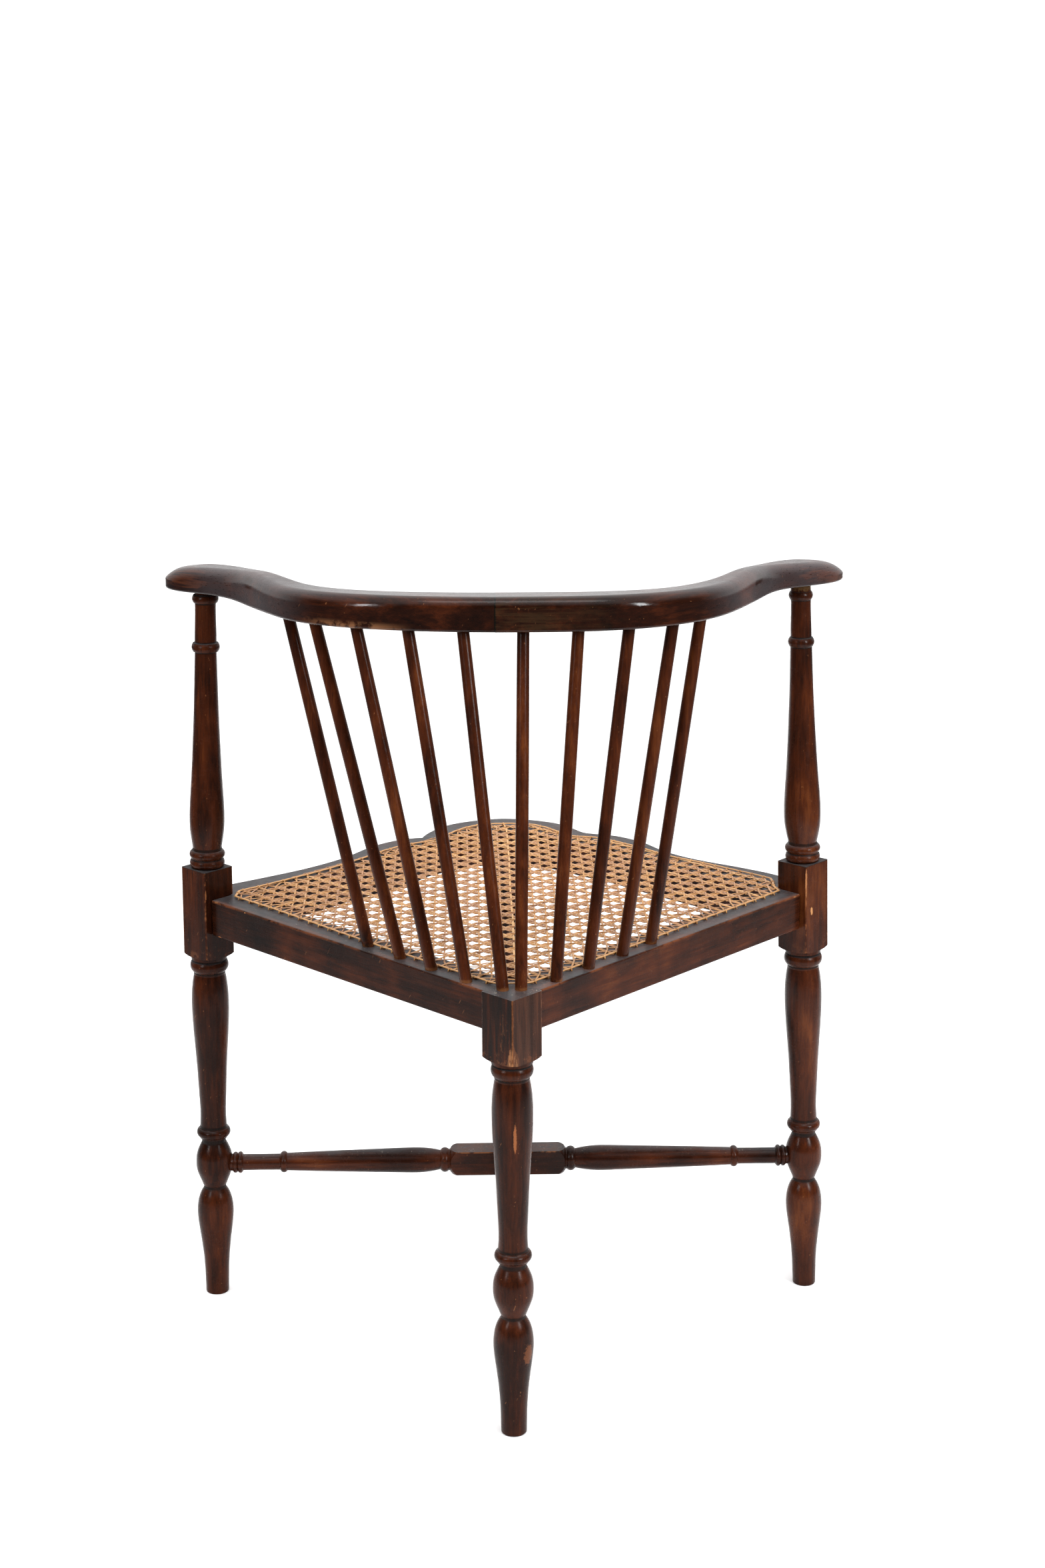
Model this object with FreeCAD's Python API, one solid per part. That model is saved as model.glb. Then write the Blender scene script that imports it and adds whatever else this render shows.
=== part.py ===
import FreeCAD, Part
import math
import os

# Corner chair with turned legs, a bowed arm rail on ten spindles and a cane seat.
# Millimetres. Z is up and the floor is z = 0. The chair faces -Y: the front leg is at -Y, the
# back leg at +Y. +X is the sitter's left. The pieces are drawn about the point midway between the
# two side posts and saved about the middle of the chair's outline on the floor.

V = FreeCAD.Vector

# ---------------------------------------------------------------- driving dimensions
half_span = 309.0        # corner of the seat rails' centre lines to the chair's centre line
post_x = (310.8, 310.3)  # axes of the left and the right post to the centre line, at seat height
back_leg_y = 309.8       # back leg axis behind the side posts
front_leg_y = -238.0     # front leg axis in front of the side posts
front_leg_x = -7.0       # the front corner sits a little towards the sitter's right
left_rake = 0.22         # degrees that the left leg leans out towards the floor
right_rake = 1.15        # the same for the right leg
upper_lean = (1.21, 1.38)    # degrees that the left and the right post lean in above the seat

seat_z = 443.0           # top of the seat rails
rail_depth = 38.0        # height of a seat rail
side_head_top = 473.0    # top of the square head of a side post
head_bottom = 374.0      # where the round shoulder under a square head starts
side_head = 37.4         # side of a side post's square head
back_head = 40.0         # side of the back leg's square head
front_head = 34.0        # side of the front leg's square head

rail_out_side = 12.6     # rail's outer face, outside the line of leg centres, at a side post
rail_out_back = 18.0     # the same at the back leg
rail_in = 21.0           # rail's inner face, inside the line of leg centres
rail_edge_r = 1.6        # rounding on the rails' long edges
rail_end_r = 1.8         # rounding on the upright end edge at a side post
rail_gap = 0.7           # open joint between a back rail's shoulder and the side post
tenon_t = 9.0            # thickness of a rail tenon
tenon_h = 26.0           # height of a rail tenon
tenon_len = 12.5         # how far a rail tenon enters its post

arm_crest_y = 250.0      # where the two halves of the arm rail have the same height
arm_under = (765.0, 768.0)   # underside over the left and over the right post
arm_under_crest = 771.3  # underside at the crest
arm_top = 789.2          # top of the arms over the side posts
arm_top_crest = 803.2    # top at the crest
arm_swell = (3.0, 2.4)   # how much the arms swell upwards and downwards where they turn from the crest
arm_swell_y = (82.0, 48.0)   # where they swell most, behind the side posts, and the length of the swell
arm_top_r = 9.5          # rounding of the upper arris at the crest
arm_end_r = 14.0         # rounding of the upper arris round the ends of the arms
arm_low_r = 2.5          # rounding of the lower arris
seam_x = 12.7            # joint between the two halves of the arm rail

spindle_r = 6.15         # spindle radius at its middle
spindle_end_r = 5.75     # spindle radius at its ends
spindle_set = 13.0       # depth of a spindle in the rail and in the arm rail

stretcher_z = 145.5      # axis of the crossed stretchers
block_half = 13.0        # half the side of the stretchers' square middle block
stretcher_tenon_r = 5.5
stretcher_tenon = 12.0

cane_t = 2.4             # thickness of the woven cane
binding_t = 1.3          # thickness of the binding strand
binding_w = 5.0          # width of the binding strand

dowel_r = 4.0            # dowels in the joint of the arm rail
dowel_len = 44.0

middle_y = 29.4          # middle of the chair's outline, behind the line of the side posts

# ---------------------------------------------------------------- helpers


def spline(pts):
    c = Part.BSplineCurve()
    c.interpolate([V(*p) for p in pts])
    return c.toShape()


def arc3(a, b, c):
    return Part.Arc(V(*a), V(*b), V(*c)).toShape()


def line(a, b):
    return Part.makeLine(V(*a), V(*b))


def turned(segs, z0, z1):
    """Solid of revolution about Z. segs is a run of ('l', p) lines, ('a', mid, end) arcs and
    ('s', pts) smooth curves in (r, z), starting from the first pair."""
    start = segs[0]
    cur = start
    edges = [line((0, 0, z0), (cur[0], 0, cur[1]))]
    for s in segs[1:]:
        if s[0] == "l":
            edges.append(line((cur[0], 0, cur[1]), (s[1][0], 0, s[1][1])))
            cur = s[1]
        elif s[0] == "a":
            edges.append(arc3((cur[0], 0, cur[1]), (s[1][0], 0, s[1][1]), (s[2][0], 0, s[2][1])))
            cur = s[2]
        else:
            pts = [cur] + list(s[1])
            edges.append(spline([(p[0], 0, p[1]) for p in pts]))
            cur = pts[-1]
    edges.append(line((cur[0], 0, cur[1]), (0, 0, z1)))
    edges.append(line((0, 0, z1), (0, 0, z0)))
    face = Part.Face(Part.Wire(Part.__sortEdges__(edges)))
    solid = face.revolve(V(0, 0, 0), V(0, 0, 1), 360)
    return one(solid)


def one(shape):
    sols = shape.Solids
    if len(sols) == 1:
        s = sols[0]
    else:
        s = max(sols, key=lambda q: q.Volume)
    if s.Volume < 0:
        s.reverse()
    return s


def clean(shape):
    try:
        r = shape.removeSplitter()
        if r.isValid() and len(r.Solids) == len(shape.Solids):
            return r
    except Exception:
        pass
    return shape


def box_at(side, z0, z1, r=1.2):
    """Square prism about Z with its corners on the X and Y axes and its upright edges eased."""
    b = Part.makeBox(side, side, z1 - z0, V(-side / 2, -side / 2, z0))
    b = b.makeFillet(r, [e for e in b.Edges if abs(e.tangentAt(e.FirstParameter).z) > 0.99])
    b.rotate(V(0, 0, 0), V(0, 0, 1), 45)
    return b


def cyl(r, a, b):
    a, b = V(*a), V(*b)
    d = b - a
    return Part.makeCylinder(r, d.Length, a, d)


def prism(pts, z0, z1):
    w = Part.makePolygon([V(p[0], p[1], z0) for p in pts] + [V(pts[0][0], pts[0][1], z0)])
    return Part.Face(w).extrude(V(0, 0, z1 - z0))


def mirror(shape):
    return shape.mirror(V(0, 0, 0), V(1, 0, 0))


def save(name, shape):
    shape = clean(shape).copy()
    shape.translate(V(0, -middle_y, 0))
    shape.exportStep("parts/" + name + ".step")
    return shape


# ---------------------------------------------------------------- turned profiles (radius, height)

def lower_profile(k):
    """Foot, ball, bead, vase and bead below a square head. k scales the radii a little."""
    def q(r, z):
        return (r * k, z)
    return [
        q(11.2, 0.0),
        ("l", q(12.2, 1.2)),
        ("s", [q(12.45, 14), q(13.5, 38), q(16.2, 63.5), q(18.2, 79), q(19.1, 92), q(18.1, 103.5),
               q(14.4, 114.6), q(12.0, 118.4)]),
        ("l", q(11.7, 118.9)),
        ("l", q(11.7, 121.6)),
        ("l", q(12.3, 122.2)),
        ("s", [q(15.6, 130.6), q(18.5, 139.5), q(19.2, 148), q(18.2, 157.5), q(15.3, 165.4), q(13.1, 169.8)]),
        ("l", q(12.5, 170.4)),
        ("l", q(12.5, 174.4)),
        ("l", q(14.6, 175.4)),
        ("l", q(14.9, 176.6)),
        ("a", q(17.7, 181.4), q(14.9, 186.2)),
        ("l", q(14.4, 187.0)),
        ("l", q(14.0, 189.8)),
        ("s", [q(13.6, 197), q(14.2, 222), q(15.9, 258), q(18.3, 294), q(19.4, 320), q(18.7, 342),
               q(17.2, 353.5), q(16.5, 357.2)]),
        ("l", q(16.5, 359.8)),
        ("l", q(17.5, 360.8)),
        ("a", q(20.0, 366.6), q(18.6, 371.6)),
        ("l", q(17.2, 372.3)),
        ("l", q(17.2, 373.2)),
    ]


def shoulder(side):
    """Round neck just inside the flats, then a shallow step out to the corners of a square head."""
    rc = side * 0.7072 + 0.4
    return [("l", (side / 2 - 0.1, head_bottom)),
            ("l", (side / 2 - 0.05, head_bottom + 3.2)),
            ("a", ((side / 2 + rc) / 2, head_bottom + 4.1), (rc, head_bottom + 6.4))]


def headed(profile_low, side, head_top, profile_up, z_end):
    """A turning whose square head is cut from the blank between two turned parts."""
    rc = side * 0.7072 + 0.4
    core = turned(profile_low + [("l", (10.0, head_bottom)), ("l", (10.0, head_bottom + 8))],
                  profile_low[0][1], head_bottom + 8)
    env = turned([(side / 2 - 0.1, head_bottom)] + shoulder(side)[1:] + [("l", (rc, head_top))],
                 head_bottom, head_top)
    head = env.common(box_at(side, head_bottom, head_top))
    body = core.fuse(head)
    if profile_up:
        up = turned(profile_up, profile_up[0][1], z_end)
        body = body.fuse(up)
    return one(clean(body))


def upper_profile(swell, ring_r, neck_r, collar_z, collar_r):
    """Two beads, a long tapering swell, a small bead and a collar under the arm."""
    def w(r, z, k):
        return (r * (1 + (swell - 1) * k), z)
    return [
        (16.0, side_head_top - 6.0),
        ("l", (16.0, side_head_top)),
        ("l", (16.4, side_head_top + 0.6)),
        ("a", (18.1, 477.6), (16.9, 481.6)),
        ("l", (16.4, 482.6)),
        ("l", (16.9, 483.6)),
        ("a", (18.4, 487.3), (16.3, 491.0)),
        ("l", (15.3, 491.6)),
        ("l", (15.0, 494.4)),
        ("s", [w(16.8, 504.3, 0.8), w(18.2, 515.5, 1), w(18.5, 526, 1), w(17.9, 543, 1), w(16.5, 564, 0.8),
               w(14.7, 597, 0.5), w(13.2, 631, 0.3), (12.1, 664), (11.4, 693), (11.2, 700.8)]),
        ("l", (ring_r - 1.5, 701.6)),
        ("a", (ring_r, 706.0), (ring_r - 1.5, 710.4)),
        ("l", (neck_r + 0.5, 711.2)),
        ("s", [(neck_r + 0.4, 722), (neck_r, 738), (neck_r, collar_z - 4.8)]),
        ("l", (collar_r - 1.3, collar_z - 4.0)),
        ("a", (collar_r, collar_z), (collar_r - 1.3, collar_z + 4.0)),
        ("l", (neck_r + 0.1, collar_z + 4.4)),
        ("l", (neck_r - 0.2, 771.0)),
    ]


def place_side(shape, rake, x):
    """Stand a post on the sitter's left: it leans out a little towards the floor."""
    s = shape.copy()
    s.rotate(V(0, 0, seat_z), V(0, 1, 0), -rake)
    s.translate(V(x, 0, 0))
    return s


floor_cut = Part.makeBox(900, 900, 40, V(-450, -450, -40))

# the side posts start a little under the floor and are trimmed flat on it after leaning
low_side = lower_profile(1.0)


def side_post(rake, lean, x, upper):
    leg = headed([(11.2, -1.0), ("l", (12.1, 1.0))] + low_side[2:], side_head, side_head_top, None, 771.0)
    leg = place_side(leg, rake, x).cut(floor_cut)
    return one(clean(leg.fuse(place_side(turned(upper, upper[0][1], 771.0), lean, x))))


left_post = side_post(left_rake, upper_lean[0], post_x[0], upper_profile(0.975, 14.4, 10.7, 756.3, 13.5))
right_post = mirror(side_post(right_rake, upper_lean[1], post_x[1], upper_profile(1.03, 13.5, 10.3, 754.6, 12.4)))
left_tenon = place_side(cyl(7.0, (0, 0, 750.0), (0, 0, 779.0)), upper_lean[0], post_x[0])
right_tenon = mirror(place_side(cyl(7.0, (0, 0, 750.0), (0, 0, 779.0)), upper_lean[1], post_x[1]))

back_leg = headed(lower_profile(1.012), back_head, seat_z, None, seat_z)
back_leg.translate(V(0, back_leg_y, 0))
front_top = seat_z - rail_depth
front_leg = headed(lower_profile(0.99), front_head, front_top, None, front_top)
front_leg = one(front_leg.fuse(cyl(9.0, (0, 0, front_top - 6), (0, 0, front_top + 26))))
front_leg.translate(V(front_leg_x, front_leg_y, 0))

# ---------------------------------------------------------------- arm rail in two halves

arm_ends = [(306.0, 25.5), (331.0, 9.0), (344.0, -8.0), (345.5, -22.0), (335.0, -33.0), (315.0, -37.0), (290.0, -29.5)]
arm_inner = [(268.0, -11.0), (249.5, 17.0), (233.0, 50.0), (216.5, 86.0), (198.0, 122.0), (175.0, 157.0)]
arm_left = [(86.0, 254.5), (132.0, 240.5), (172.0, 220.5), (203.0, 194.0), (225.0, 160.0), (243.0, 120.0),
            (260.0, 79.0), (281.0, 46.0)] + arm_ends + arm_inner + [(142.0, 184.5), (98.0, 202.0), (50.0, 211.5)]
arm_right = [(36.0, 265.0), (90.0, 260.5), (135.0, 246.5), (172.0, 223.5), (201.0, 194.0), (222.0, 159.0),
             (239.0, 119.0), (256.0, 77.0), (278.0, 43.0)] + arm_ends + arm_inner + [
                 (144.0, 190.0), (102.0, 208.5), (42.0, 215.0)]


def swell_at(y):
    return math.exp(-((y - arm_swell_y[0]) / arm_swell_y[1]) ** 2)


def under_at(side, y):
    a = arm_under[0] if side > 0 else arm_under[1]
    return a + (arm_under_crest - a) * y / arm_crest_y - arm_swell[1] * swell_at(y)


def top_at(y):
    return arm_top + (arm_top_crest - arm_top) * y / arm_crest_y + arm_swell[0] * swell_at(y)


def arm_half(side):
    """One half of the arm rail. side = 1 is the sitter's left."""
    mid = arm_left if side > 0 else [(-p[0] - (1.8 if p[0] > 325 else 0.0), p[1]) for p in arm_right]
    run = [(seam_x, 264.7)] + mid + [(seam_x, 214.9)]
    c = Part.BSplineCurve()
    c.interpolate([V(p[0], p[1], 730.0) for p in run])
    p1 = c.parameter(V(side * arm_ends[0][0], arm_ends[0][1], 730.0))
    p2 = c.parameter(V(side * arm_ends[-1][0], arm_ends[-1][1], 730.0))
    parts = [Part.Edge(c, a, b) for a, b in ((c.FirstParameter, p1), (p1, p2), (p2, c.LastParameter))]
    closing = line((seam_x, 214.9, 730.0), (seam_x, 264.7, 730.0))
    blank = Part.Face(Part.Wire(parts + [closing])).extrude(V(0, 0, 110))
    ya, yb = -90.0, 330.0
    ys = [ya + (yb - ya) * i / 42 for i in range(43)]
    upper_edge = spline([(-420, y, top_at(y)) for y in ys])
    lower_edge = spline([(-420, y, under_at(side, y)) for y in ys])
    sides = [line((-420, y, under_at(side, y)), (-420, y, top_at(y))) for y in (ya, yb)]
    slab = Part.Face(Part.Wire(Part.__sortEdges__([upper_edge, lower_edge] + sides))).extrude(V(840, 0, 0))
    arm = one(blank.common(slab))

    def on_seam(e):
        return all(abs(v.X - seam_x) < 0.01 for v in e.Vertexes) and abs(e.CenterOfMass.x - seam_x) < 0.01

    def level(e, height):
        m = e.valueAt((e.FirstParameter + e.LastParameter) / 2)
        return abs(m.z - height(m.y)) < 0.05 and abs(e.tangentAt(e.FirstParameter).z) < 0.3

    # the rounding of the upper arris grows towards the ends of the arms
    base = doc.addObject("Part::Feature", "blank")
    base.Shape = arm
    rounded = doc.addObject("Part::Fillet", "rounded")
    rounded.Base = base
    picks = []
    for i, e in enumerate(base.Shape.Edges, 1):
        if on_seam(e) or not level(e, top_at):
            continue
        if e.Length < 160:
            picks.append((i, arm_end_r, arm_end_r))
        elif abs(e.valueAt(e.FirstParameter).x) > abs(e.valueAt(e.LastParameter).x):
            picks.append((i, arm_end_r, arm_top_r))
        else:
            picks.append((i, arm_top_r, arm_end_r))
    rounded.Edges = picks
    doc.recompute()
    arm = one(rounded.Shape.copy())
    low = [e for e in arm.Edges if not on_seam(e) and level(e, lambda y: under_at(side, y))]
    return one(arm.makeFillet(arm_low_r, low))


doc = FreeCAD.newDocument("chair")
left_arm = arm_half(1)
right_arm = arm_half(-1)

# the posts stop against the underside of the arms and their tenons go up into them
left_post = one(clean(one(left_post.cut(left_arm)).fuse(left_tenon)))
right_post = one(clean(one(right_post.cut(right_arm)).fuse(right_tenon)))
left_arm = left_arm.cut(left_post)
right_arm = right_arm.cut(right_post)

# ---------------------------------------------------------------- seat rails

root2 = math.sqrt(0.5)
rail_span = half_span / root2      # side post axis to back leg axis


def back_pt(s, n):
    """Point s along the line from the sitter's-left post to the back leg and n outside it."""
    return (half_span - s * root2 + n * root2, s * root2 + n * root2)


def front_pt(s, n):
    """Point s along the line from the sitter's-left post towards the front and n outside it."""
    return (half_span - s * root2 + n * root2, -s * root2 - n * root2)


def tenon_between(pt, s0, s1, n_mid):
    return prism([pt(s0, n_mid - tenon_t / 2), pt(s1, n_mid - tenon_t / 2),
                  pt(s1, n_mid + tenon_t / 2), pt(s0, n_mid + tenon_t / 2)],
                 seat_z - rail_depth / 2 - tenon_h / 2, seat_z - rail_depth / 2 + tenon_h / 2)


def ease_long(shape, r, direction):
    d = V(*direction).normalize()
    es = [e for e in shape.Edges if abs(abs(e.tangentAt(e.FirstParameter).dot(d)) - 1) < 0.002 and e.Length > 100]
    return shape.makeFillet(r, es)


s_side = side_head / 2 + rail_gap - (post_x[0] - half_span) * root2    # the shoulders at the side posts stand a little open
s_back = rail_span - back_head / 2 + 0.6
rail_blank = prism([back_pt(s_side, rail_out_side), back_pt(s_back, rail_out_back),
                    back_pt(s_back, -rail_in), back_pt(s_side, -rail_in)], seat_z - rail_depth, seat_z)
end_corner = V(*(back_pt(s_side, rail_out_side) + (seat_z - rail_depth / 2,)))
end_edge = [e for e in rail_blank.Edges if e.CenterOfMass.distanceToPoint(end_corner) < 0.5]
rail_blank = one(rail_blank.makeFillet(rail_end_r, end_edge))
top_edges = [e for e in rail_blank.Edges if e.Length > 100]
rail_blank = one(rail_blank.makeFillet(rail_edge_r, top_edges))
t_side = tenon_between(back_pt, side_head / 2 - tenon_len, side_head / 2 + 6, 0.0)
t_back = tenon_between(back_pt, rail_span - back_head / 2 - 6, rail_span - back_head / 2 + tenon_len, 0.0)
back_left = one(clean(one(rail_blank.cut(left_post).cut(back_leg)).fuse([t_side, t_back])))
back_right = one(clean(one(mirror(rail_blank).cut(right_post).cut(back_leg)).fuse([mirror(t_side), mirror(t_back)])))

# serpentine front rails: hollow from the post, a small round shoulder, a quirk, then a bow over the front
# leg. The left one is hollowed deeper than the right one.
front_left_edge = [(14.0, 13.4), (42.0, 10.7), (60.0, 7.2), (80.0, 3.6), (100.0, 0.2), (120.0, -2.8), (147.0, -4.8),
                   (166.0, -5.0), (192.0, -3.0), (212.0, 1.2), (231.0, 5.0), (252.0, 5.6), (270.0, 3.2),
                   (287.0, -3.0), (297.8, -10.3)]
front_left_bow = [(91.2, -203.3), (87.0, -216.5), (75.0, -238.5), (60.1, -255.7), (37.2, -269.0), (18.0, -276.0),
                  (0.0, -278.8)]
front_right_edge = [(14.0, 17.2), (42.0, 18.6), (60.0, 18.4), (80.0, 16.2), (102.0, 12.9), (130.0, 7.6), (161.0, 4.2),
                    (185.0, 5.0), (205.0, 8.5), (231.0, 15.4), (253.0, 16.4), (276.0, 13.0), (290.0, 6.5), (298.0, 1.0)]
front_right_bow = [(99.0, -213.5), (91.5, -217.5), (84.8, -227.0), (75.0, -242.0), (63.2, -255.5), (47.0, -265.8),
                   (31.6, -272.3), (15.0, -277.0), (0.0, -278.8)]


def front_rail(side, edge, bow, inner_n):
    post = left_post if side > 0 else right_post
    neighbour = back_left if side > 0 else back_right
    first = [front_pt(s, n) + (0.0,) for s, n in edge]
    first[-1] = bow[0] + (0.0,)
    second = [p + (0.0,) for p in bow]
    inner = [(0.0, -221.0), (34.0, -213.0), (66.0, -193.0), (90.0, -170.0)] + [
        front_pt(s, inner_n) for s in (262.0, 200.0, 120.0, 14.0)]
    edges = [spline(first), spline(second), line(second[-1], (0, -221.0, 0)), spline([p + (0.0,) for p in inner]),
             line(inner[-1] + (0.0,), first[0])]
    rail = Part.Face(Part.Wire(Part.__sortEdges__(edges))).extrude(V(0, 0, rail_depth))
    rail.translate(V(0, 0, seat_z - rail_depth))
    outer = [e for e in rail.Edges
             if e.Length > 90 and abs(e.CenterOfMass.z - seat_z) < 0.01
             and e.CenterOfMass.x - e.CenterOfMass.y > 255 and e.CenterOfMass.y < -20]
    rail = one(rail.makeFillet(rail_edge_r, outer))
    tenon = tenon_between(front_pt, side_head / 2 - tenon_len, side_head / 2 + 6, -2.0)
    if side < 0:
        rail, tenon = mirror(rail), mirror(tenon)
    rail = one(rail.cut(post).cut(neighbour))
    return one(one(clean(rail.fuse(tenon))).cut(front_leg))


front_left = front_rail(1, front_left_edge, front_left_bow, -38.0)
front_right = front_rail(-1, front_right_edge, front_right_bow, -33.0)

# mortises
left_post = one(left_post.cut(back_left).cut(front_left))
right_post = one(right_post.cut(back_right).cut(front_right))
right_arm = one(right_arm)
left_arm = one(left_arm)
back_leg = one(back_leg.cut(back_left).cut(back_right))

# ---------------------------------------------------------------- crossed stretchers

def stretcher(half_a, half_b):
    """Turned bar along X with a square middle block: half_a is the +X arm, half_b the -X arm, to the leg axes."""
    def side_prof(half):
        e = half - 18.0                      # where the turning meets the leg's ball
        k = (e - 62.0) / (292.0 - 62.0)      # lengthwise scale of the long swell

        def x(v):
            return 62.0 + (v - 62.0) * k
        end = e - 2.0
        return [("l", (11.3, 62.0)), ("l", (11.3, 63.0)), ("a", (13.0, 67.2), (11.0, 71.2)), ("l", (10.2, 72.0)),
                ("s", [(11.8, x(80)), (13.2, x(95)), (13.0, x(112)), (11.9, x(150)), (10.6, x(195)), (9.4, x(230))]),
                ("l", (9.3, x(233))),
                ("a", (11.3, x(233) + 3.6), (9.0, x(233) + 7.2)),
                ("l", (8.5, x(233) + 8.0)),
                ("s", [(8.4, (x(233) + 8.0 + end - 11.0) / 2), (8.5, end - 11.0)]),
                ("l", (9.6, end - 10.2)), ("a", (11.4, end - 7.6), (9.8, end - 5.2)), ("l", (9.6, end - 4.8)),
                ("a", (11.2, end - 2.4), (9.4, end)), ("l", (8.2, end + 5.0))]
    # long shoulders of the block come to a point on the middle of each face
    rc = block_half * 1.4144 + 0.3
    pa = side_prof(half_a)
    pb = side_prof(half_b)

    def half_solid(p):
        prof = [(rc, 0.0), ("l", (rc, 51.5)), ("a", (16.1, 57.6), (11.8, 61.4)), ("l", (11.3, 62.0))] + p[1:]
        return turned(prof, 0.0, p[-1][1][1])
    a = half_solid(pa)
    b = half_solid(pb)
    a.rotate(V(0, 0, 0), V(0, 1, 0), 90)
    b.rotate(V(0, 0, 0), V(0, 1, 0), -90)
    square = Part.makeBox(2 * 62.0, 2 * block_half, 2 * block_half, V(-62.0, -block_half, -block_half))
    square = square.makeFillet(0.8, [e for e in square.Edges if abs(e.tangentAt(e.FirstParameter).x) > 0.99])
    bars = [Part.makeBox(half_a, 60, 60, V(62.0, -30, -30)), Part.makeBox(half_b, 60, 60, V(-62.0 - half_b, -30, -30))]
    keep = square.fuse(bars)
    whole = a.fuse(b).common(keep)
    whole = one(clean(whole))
    whole.translate(V(0, 0, stretcher_z))
    return whole


left_axis = post_x[0] + (seat_z - stretcher_z) * math.tan(math.radians(left_rake))
right_axis = post_x[1] + (seat_z - stretcher_z) * math.tan(math.radians(right_rake))
cross = stretcher(left_axis, right_axis)
# the fore-and-aft bar is made along Y from the back leg's axis and turned a little to meet the front leg
skew = math.degrees(math.atan2(-front_leg_x, back_leg_y - front_leg_y))
fore_len = math.hypot(front_leg_x, back_leg_y - front_leg_y)
fore = stretcher(back_leg_y, fore_len - back_leg_y)
fore.rotate(V(0, 0, 0), V(0, 0, 1), 90)
lap = block_half
over = Part.makeBox(2 * lap, 100, 60, V(-lap, -50, stretcher_z - 60))
t3 = cyl(stretcher_tenon_r, (0, back_leg_y - 26, stretcher_z), (0, back_leg_y - 19.4 + stretcher_tenon, stretcher_z))
front_end = back_leg_y - fore_len
t4 = cyl(stretcher_tenon_r, (0, front_end + 26, stretcher_z), (0, front_end + 19.0 - stretcher_tenon, stretcher_z))
for q in (fore, over, t3, t4):
    q.rotate(V(0, back_leg_y, 0), V(0, 0, 1), -skew)
# halved together at the middle: the cross bar keeps its upper half, the fore-and-aft bar its lower half
cross = cross.cut(over)
fore = fore.cut(Part.makeBox(100, 2 * lap, 60, V(-50, -lap, stretcher_z)))
cross = one(cross.cut(left_post).cut(right_post))
fore = one(fore.cut(back_leg).cut(front_leg))
t1 = cyl(stretcher_tenon_r, (left_axis - 26, 0, stretcher_z), (left_axis - 19.2 + stretcher_tenon, 0, stretcher_z))
t2 = cyl(stretcher_tenon_r, (-right_axis + 26, 0, stretcher_z), (-right_axis + 19.2 - stretcher_tenon, 0, stretcher_z))
cross = one(clean(cross.fuse([t1, t2])))
fore = one(clean(fore.fuse([t3, t4])))
left_post = one(left_post.cut(cross))
right_post = one(right_post.cut(cross))
back_leg = one(back_leg.cut(fore))
front_leg = one(front_leg.cut(fore))

# ---------------------------------------------------------------- spindles

# foot (x, y) on the rail tops and top (x, y) under the arm rail, from the sitter's left to the right
spindle_lines = [
    ((137.4, 173.8), (210.8, 141.0)),
    ((105.3, 211.0), (183.0, 183.0)),
    ((75.0, 246.0), (142.4, 214.5)),
    ((42.1, 282.4), (93.6, 231.0)),
    ((8.2, 305.6), (42.4, 238.4)),
    ((-8.8, 305.6), (-13.7, 240.0)),
    ((-42.2, 282.2), (-65.3, 236.0)),
    ((-74.2, 246.4), (-113.3, 225.6)),
    ((-108.6, 210.0), (-155.8, 207.0)),
    ((-138.4, 175.2), (-184.2, 179.5)),
]


def spindle(foot, top):
    a = V(foot[0], foot[1], seat_z)
    b = V(top[0], top[1], under_at(top[0] - seam_x, top[1]))
    d = b - a
    length = d.Length + 2 * spindle_set
    s = turned([(spindle_end_r, 0.0),
                ("s", [(spindle_end_r + 0.1, 0.12 * length), (spindle_r, 0.45 * length), (spindle_r, 0.6 * length),
                       (spindle_end_r + 0.15, 0.9 * length), (spindle_end_r, length)])], 0.0, length)
    axis = V(0, 0, 1).cross(d)
    ang = math.degrees(V(0, 0, 1).getAngle(d))
    if axis.Length > 1e-9:
        s.rotate(V(0, 0, 0), axis, ang)
    s.translate(a - d.normalize() * spindle_set)
    return s


spindles = [spindle(f, t) for f, t in spindle_lines]
for sp in spindles[:4]:
    back_left = back_left.cut(sp)
for sp in spindles[6:]:
    back_right = back_right.cut(sp)
for sp in spindles[3:7]:
    back_leg = back_leg.cut(sp)
for sp in spindles[:5]:
    left_arm = left_arm.cut(sp)
for sp in spindles[5:]:
    right_arm = right_arm.cut(sp)

# ---------------------------------------------------------------- dowels in the arm rail's joint

dowels = []
for y in (228.0, 252.0):
    z = (under_at(1, y) + top_at(y)) / 2 - 1.5
    dowels.append(cyl(dowel_r, (seam_x - dowel_len / 2, y, z), (seam_x + dowel_len / 2, y, z)))
dowel_pair = Part.makeCompound(dowels)
for d in dowels:
    left_arm = left_arm.cut(d)
    right_arm = right_arm.cut(d)

# ---------------------------------------------------------------- cane seat

cane_back_left = [back_pt(s, n) for s, n in [
    (415.0, 3.0), (389.0, 3.0), (341.0, 2.6), (293.0, 2.0), (253.0, 1.4), (200.0, -0.8), (150.0, -3.6), (94.0, -6.0),
    (30.0, -6.4)]]
cane_back_right = [back_pt(s, n) for s, n in [
    (415.0, 3.6), (389.0, 3.6), (341.0, 3.4), (293.0, 3.0), (253.0, 2.2), (208.0, 0.6), (163.0, -1.6), (110.0, -2.4),
    (63.0, -3.0), (28.0, -4.4)]]
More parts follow.
